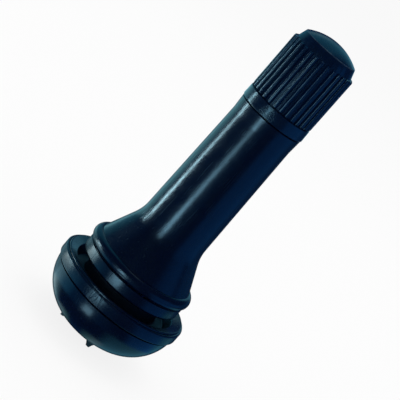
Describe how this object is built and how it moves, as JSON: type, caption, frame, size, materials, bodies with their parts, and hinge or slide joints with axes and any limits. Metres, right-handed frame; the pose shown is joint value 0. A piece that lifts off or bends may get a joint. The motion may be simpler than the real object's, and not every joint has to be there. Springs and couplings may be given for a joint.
{
  "type": "tyre valve",
  "caption": "Snap-in rubber tyre valve with a domed base, rim groove, slim tapered stem and ribbed screw cap; it seals a tubeless wheel and its sprung core lets air in and out.",
  "frame": {"origin": "centre of the flat floor of the rim groove, where the wheel rim seats", "axes": "+Z along the valve's axis from the base to the cap, out of the wheel; X and Y are square to it"},
  "size_m": [0.0196, 0.0196, 0.0513],
  "materials": {
    "rubber": "satin moulded rubber",
    "cap_plastic": "moulded black plastic",
    "brass": "turned",
    "spring_steel": "drawn wire",
    "seal_rubber": "matte",
    "ring_plastic": "smooth"
  },
  "bodies": {
    "valve": {"rubber_body": "rubber", "brass_stem": "brass", "core_plug": "brass", "core_barrel": "brass", "core_seal_ring": "ring_plastic", "core_spring": "spring_steel"},
    "cap_seal": {"cap_seal": "seal_rubber"},
    "cap": {"cap": "cap_plastic"},
    "core_pin": {"core_pin": "brass", "core_cup": "brass", "core_cup_seal": "seal_rubber"}
  },
  "joints": [
    {"name": "cap_lift", "type": "slide", "parent": "valve", "child": "cap_seal", "axis": [0, 0, 1], "range_m": [0, 0.0127]},
    {"name": "cap_turn", "type": "hinge", "parent": "cap_seal", "child": "cap", "pos_m": [0, 0, 0.0375], "axis": [0, 0, 1], "range_deg": [0, 5760]},
    {"name": "core_pin_press", "type": "slide", "parent": "valve", "child": "core_pin", "axis": [0, 0, -1], "range_m": [0, 0.0012], "stiffness_N_per_m": 500, "springref_m": -0.003, "deforming": ["core_spring"]}
  ],
  "couplings": [
    {"joint": "cap_turn", "follows": "cap_lift", "rad_per_m": 7915.8}
  ]
}
